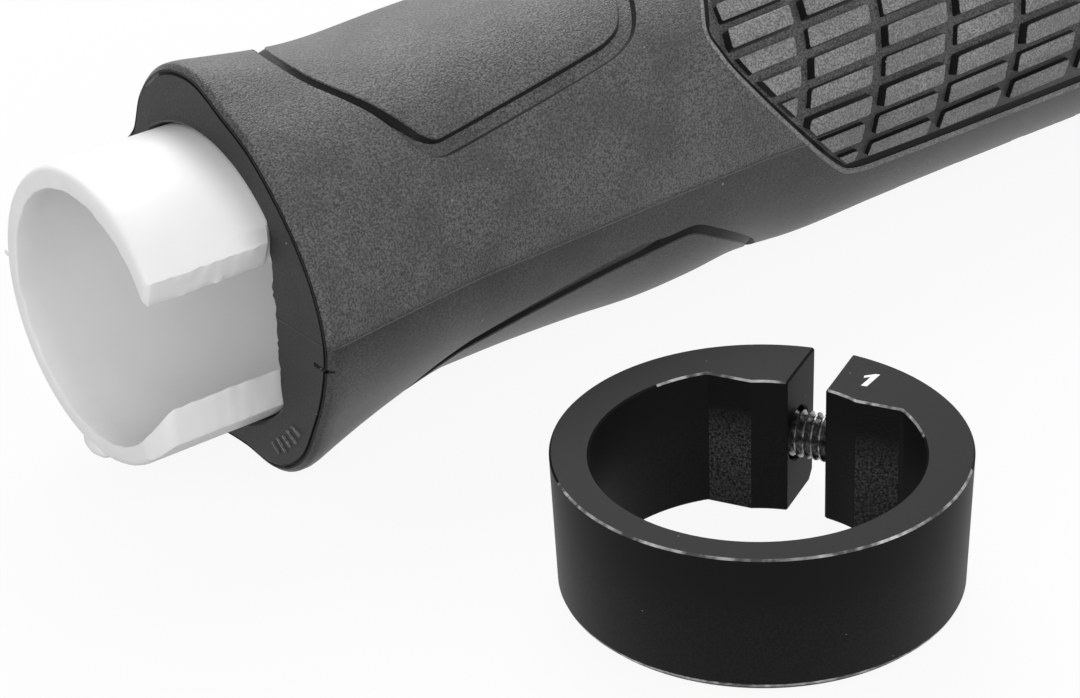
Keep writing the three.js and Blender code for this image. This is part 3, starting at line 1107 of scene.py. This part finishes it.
def fineGrain():  # moulded grain, with a softer and wider unevenness under it
    group, start, end = newGroup(
        "fineGrain",
        [("Vector", "NodeSocketVector", None), ("Scale", "NodeSocketFloat", 3000.0)],
        [("Height", "NodeSocketFloat"), ("Mask", "NodeSocketFloat"), ("Cloud", "NodeSocketFloat")],
    )
    vector, scale = start.outputs["Vector"], start.outputs["Scale"]
    fine = addNode(group, "ShaderNodeTexNoise", Vector=vector, Scale=scale, Detail=2.0, Roughness=0.6)
    wide = addNode(group, "ShaderNodeTexNoise", Vector=vector, Scale=180.0, Detail=3.0, Roughness=0.5)
    mask = addNode(group, "ShaderNodeMapRange", i0=fine.outputs[0], i1=0.38, i2=0.66)
    group.links.new(fine.outputs[0], end.inputs["Height"])
    group.links.new(mask.outputs[0], end.inputs["Mask"])
    group.links.new(wide.outputs[0], end.inputs["Cloud"])
    return group


def scatteredDust():  # sparse light specks and lint
    group, start, end = newGroup(
        "scatteredDust",
        [
            ("Vector", "NodeSocketVector", None),
            ("Scale", "NodeSocketFloat", 900.0),
            ("Size", "NodeSocketFloat", 0.12),
        ],
        [("Mask", "NodeSocketFloat")],
    )
    vector, scale = start.outputs["Vector"], start.outputs["Scale"]
    cells = addNode(group, "ShaderNodeTexVoronoi", Vector=vector, Scale=scale)
    speck = maths(group, "LESS_THAN", cells.outputs["Distance"], start.outputs["Size"])
    chance = addNode(
        group, "ShaderNodeTexWhiteNoise", {"noise_dimensions": "3D"}, Vector=cells.outputs["Position"]
    )
    few = maths(group, "GREATER_THAN", chance.outputs["Value"], 0.93)
    group.links.new(maths(group, "MULTIPLY", speck, few), end.inputs["Mask"])
    return group


def newMaterial(name):
    material = bpy.data.materials.new(name)
    material.use_nodes = True
    tree = material.node_tree
    shader = tree.nodes["Principled BSDF"]
    place = tree.nodes.new("ShaderNodeTexCoord").outputs["Object"]
    return material, tree, shader, place


def colourBetween(tree, factor, first, second):
    node = addNode(tree, "ShaderNodeMix", {"data_type": "RGBA"})
    for key, value in (("Factor", factor), ("A", first), ("B", second)):
        feed(tree, next(socket for socket in node.inputs if socket.name == key and socket.enabled), value)
    return next(socket for socket in node.outputs if socket.type == "RGBA")


def bumpFrom(tree, height, strength, distance, under=None):
    node = addNode(tree, "ShaderNodeBump", Height=height, Strength=strength, Distance=distance)
    if under is not None:
        tree.links.new(under, node.inputs["Normal"])
    return node.outputs[0]


def grey(value):
    return (value, value, value, 1)


def groupNode(tree, group, place, scale, **inputs):
    return addNode(tree, "ShaderNodeGroup", {"node_tree": group}, Vector=place, Scale=scale, **inputs)


def between(tree, value, low, high, **ends):  # 0 at the low value, 1 at the high one
    return addNode(tree, "ShaderNodeMapRange", i0=value, i1=low, i2=high, **ends).outputs[0]


def heightOf(tree, place):
    return addNode(tree, "ShaderNodeSeparateXYZ", Vector=place).outputs["Z"]


def upperHalf(tree, place):  # 1 above the parting line of the mould, 0 below it, and the line itself
    height = heightOf(tree, place)
    above = between(tree, height, axisZ - 0.1 * mm, axisZ + 0.6 * mm)
    off = maths(tree, "ABSOLUTE", maths(tree, "SUBTRACT", height, axisZ + 0.1 * mm))
    return above, between(tree, off, 0.14 * mm, 0.04 * mm)


rubberFinishes = {  # by material slot; the lower tone is painted shade: it darkens the half below the parting line, which turns away from the lamps
    "gripRubber": {
        "dark": 0.033, "light": 0.135, "lowerShade": 0.38, "roughness": 0.48, "bump": 0.9, "shine": 0.4,
    },
    # painted shade: near-black rubber for the walls of the grooves, the pad recess and the bricks, and for
    # the flange's rim groove
    "paintedShadeRubber": {
        "dark": 0.006, "light": 0.012, "lowerShade": 0.38, "roughness": 0.5, "bump": 0.2, "shine": 0.12,
    },
    # painted highlight: lighter rubber for the brick tops, the pad rim and the ticks on the flange
    "paintedHighlightRubber": {
        "dark": 0.1, "light": 0.3, "lowerShade": 0.8, "roughness": 0.5, "bump": 0.8, "shine": 0.45,
    },
    # painted shade: darker tones for the flange's end face, which turns away from the key lamp
    "flangeFaceRubber": {
        "dark": 0.012, "light": 0.03, "lowerShade": 1, "roughness": 0.6, "bump": 0.3, "shine": 0.35,
    },
}


def makeRubberMaterial(grainGroup, dustGroup, name):
    finish = rubberFinishes[name]
    material, tree, shader, place = newMaterial(name)
    fine = groupNode(tree, grainGroup, place, 5200.0)
    specks = groupNode(tree, dustGroup, place, 700.0, Size=0.07)
    above, line = upperHalf(tree, place)
    patches = between(tree, fine.outputs["Cloud"], 0.35, 0.65, i3=0.65, i4=1.25)
    mottled = maths(tree, "MULTIPLY", fine.outputs["Mask"], patches)
    tones = finish["dark"], finish["light"]
    upper = colourBetween(tree, mottled, *[grey(tone) for tone in tones])
    # painted shade: a darker copy of the tones for the half below the parting line
    lower = colourBetween(tree, mottled, *[grey(tone * finish["lowerShade"]) for tone in tones])
    colour = colourBetween(tree, above, lower, upper)
    colour = colourBetween(tree, specks.outputs["Mask"], colour, grey(0.25))
    tree.links.new(colour, shader.inputs["Base Color"])
    rough = maths(tree, "ADD", maths(tree, "MULTIPLY", above, 0.6), 0.4)  # the lower half is smoother
    depth = maths(tree, "MULTIPLY", fine.outputs["Height"], rough)
    height = maths(tree, "ADD", depth, line)
    tree.links.new(bumpFrom(tree, height, finish["bump"], 0.12 * mm), shader.inputs["Normal"])
    shader.inputs["Roughness"].default_value = finish["roughness"]
    shader.inputs["Specular IOR Level"].default_value = finish["shine"]
    shader.inputs["Sheen Weight"].default_value = 0.15
    shader.inputs["Sheen Roughness"].default_value = 0.4
    return material


def ringBump(tree, place, mark):  # height of a low round mark on top of the sleeve
    markPlace, angle, radius = mark
    centre = onGrip(markPlace, angle, sleeveShape["radius"])
    away = addNode(tree, "ShaderNodeVectorMath", {"operation": "DISTANCE"}, i0=place, i1=centre)
    off = maths(tree, "ABSOLUTE", maths(tree, "SUBTRACT", away.outputs["Value"], radius * mm))
    return between(tree, off, 0.3 * mm, 0.05 * mm)


def makeSleeveMaterial(grainGroup):
    material, tree, shader, place = newMaterial("whitePlastic")
    fine = groupNode(tree, grainGroup, place, 900.0)
    colour = colourBetween(tree, fine.outputs["Cloud"], grey(0.84), grey(0.9))
    tree.links.new(colour, shader.inputs["Base Color"])
    shader.inputs["Roughness"].default_value = 0.45
    height = fine.outputs["Cloud"]
    for mark in marks["rings"]:
        height = maths(tree, "ADD", height, maths(tree, "MULTIPLY", ringBump(tree, place, mark), 0.2))
    tree.links.new(bumpFrom(tree, height, 0.3, 0.4 * mm), shader.inputs["Normal"])
    return material


ringFinishes = {  # the blasted patches fade out towards the top of the ring
    "anodisedRing": {"dark": 0.005, "light": 0.01, "bump": 0.15},
    "blastedRing": {"dark": 0.004, "light": 0.09, "bump": 1.0},
    "fade": (9.5, 6),
}


def makeRingMaterial(grainGroup, dustGroup, name):
    finish = ringFinishes[name]
    material, tree, shader, place = newMaterial(name)
    fine = groupNode(tree, grainGroup, place, 5000.0)
    specks = groupNode(tree, dustGroup, place, 900.0, Size=0.06)
    low = between(tree, heightOf(tree, place), *[ringCentre.z + end * mm for end in ringFinishes["fade"]])
    grains = maths(tree, "MULTIPLY", fine.outputs["Mask"], low)
    base = colourBetween(tree, grains, grey(finish["dark"]), grey(finish["light"]))
    base = colourBetween(tree, specks.outputs["Mask"], base, grey(0.15))
    tree.links.new(base, shader.inputs["Base Color"])
    shader.inputs["Roughness"].default_value = 0.48
    shader.inputs["Specular IOR Level"].default_value = 0.08
    normal = bumpFrom(tree, fine.outputs["Height"], finish["bump"], 0.06 * mm)
    tree.links.new(normal, shader.inputs["Normal"])
    return material


def makeEdgeHighlight(grainGroup):  # painted highlight: a bright metal colour on the edge chamfers, broken up by grain
    material, tree, shader, place = newMaterial("edgeHighlightRing")
    fine = groupNode(tree, grainGroup, place, 700.0)
    glint = maths(tree, "MULTIPLY", fine.outputs["Mask"], fine.outputs["Cloud"])
    colour = colourBetween(tree, between(tree, glint, 0.02, 0.5), grey(0.06), grey(0.55))
    tree.links.new(colour, shader.inputs["Base Color"])
    shader.inputs["Metallic"].default_value = 0.3
    shader.inputs["Roughness"].default_value = 0.4
    return material


def makeScrewMaterial(grainGroup):
    material, tree, shader, place = newMaterial("blackOxide")
    fine = groupNode(tree, grainGroup, place, 3000.0)
    colour = colourBetween(tree, fine.outputs["Mask"], grey(0.1), grey(0.3))
    tree.links.new(colour, shader.inputs["Base Color"])
    shader.inputs["Metallic"].default_value = 0.9
    shader.inputs["Roughness"].default_value = 0.24
    return material


def makePrintMaterial(grainGroup):
    material, tree, shader, place = newMaterial("whitePrint")
    fine = groupNode(tree, grainGroup, place, 2000.0)
    colour = colourBetween(tree, fine.outputs["Mask"], grey(0.7), grey(0.85))
    tree.links.new(colour, shader.inputs["Base Color"])
    shader.inputs["Roughness"].default_value = 0.5
    return material


studio = {
    "worldStrength": 0.42,
    "lamps": [  # place, size, watts
        ((0.3, 0.52, 0.62), 0.6, 6.6),
        ((0.3, -0.6, 0.4), 0.5, 1.6),
        ((-0.6, -0.45, 0.3), 0.5, 2.8),
    ],
    "floorSize": 6,
    "floorGrey": 0.4,
    "floorGlow": 0.85,
    "glowStrength": 1.08,
    "cameraPlace": (-110.976, -211.622, 124.679),  # millimetres from the middle of the mouth
    "cameraTurn": (61.273, 1.953, -37.848),
    "sensor": 36,
    "lens": 3200 * 36 / 1080,  # 3200 pixels over a picture 1080 wide
}


def seenOrReflected(tree):  # 1 for the rays that show the floor itself, 0 for those that it lights
    rays = tree.nodes.new("ShaderNodeLightPath")
    seen = maths(tree, "MAXIMUM", rays.outputs["Is Camera Ray"], rays.outputs["Is Glossy Ray"])
    return maths(tree, "MAXIMUM", seen, rays.outputs["Is Transmission Ray"])


def makeFloor():
    deselectAll()
    bpy.ops.mesh.primitive_plane_add(size=studio["floorSize"])
    floor = named("floor")
    material, tree, shader, _ = newMaterial("paleFloor")
    shader.inputs["Base Color"].default_value = grey(studio["floorGrey"])
    shader.inputs["Roughness"].default_value = 0.9
    shader.inputs["Specular IOR Level"].default_value = 0.0
    glow = addNode(tree, "ShaderNodeEmission", Color=grey(1), Strength=studio["glowStrength"])
    factor = maths(tree, "MULTIPLY", seenOrReflected(tree), studio["floorGlow"])
    both = tree.nodes.new("ShaderNodeMixShader")
    tree.links.new(factor, both.inputs[0])
    tree.links.new(shader.outputs[0], both.inputs[1])
    tree.links.new(glow.outputs[0], both.inputs[2])
    tree.links.new(both.outputs[0], tree.nodes["Material Output"].inputs["Surface"])
    floor.data.materials.append(material)


def makeLights():
    world = bpy.data.worlds.new("studioWorld")
    scene.world = world
    world.use_nodes = True
    back = world.node_tree.nodes["Background"]
    back.inputs["Color"].default_value = grey(1)
    back.inputs["Strength"].default_value = studio["worldStrength"]
    for place, size, watts in studio["lamps"]:
        deselectAll()
        bpy.ops.object.light_add(type="AREA", location=place)
        lamp = bpy.context.object
        lamp.data.shape = "SQUARE"
        lamp.data.size = size
        lamp.data.energy = watts
        lamp.rotation_euler = (-Vector(place)).to_track_quat("-Z", "Y").to_euler()


def makeCamera():
    deselectAll()
    mouth = Vector((mouthX, axisY, axisZ))
    bpy.ops.object.camera_add(
        location=mouth + Vector(studio["cameraPlace"]) * mm,
        rotation=[math.radians(turn) for turn in studio["cameraTurn"]],
    )
    camera = bpy.context.object
    camera.data.lens = studio["lens"]
    camera.data.sensor_width = studio["sensor"]
    camera.data.sensor_fit = "HORIZONTAL"
    camera.data.clip_start = 0.01
    camera.data.clip_end = 20
    scene.camera = camera


makeCamera()
makeFloor()
makeLights()
print("stage ready")
grain = fineGrain()
dust = scatteredDust()
makeSleeve([makeSleeveMaterial(grain)])
print("sleeve ready")
makeRubber([makeRubberMaterial(grain, dust, name) for name in rubberFinishes])
print("rubber ready")
makeRing([
    makeRingMaterial(grain, dust, "anodisedRing"),
    makeEdgeHighlight(grain),
    makeRingMaterial(grain, dust, "blastedRing"),
])
print("ring ready")
makeScrew([makeScrewMaterial(grain)])
makeNumber(makePrintMaterial(grain))
print("screw and number ready")

scene.view_settings.view_transform = "Standard"
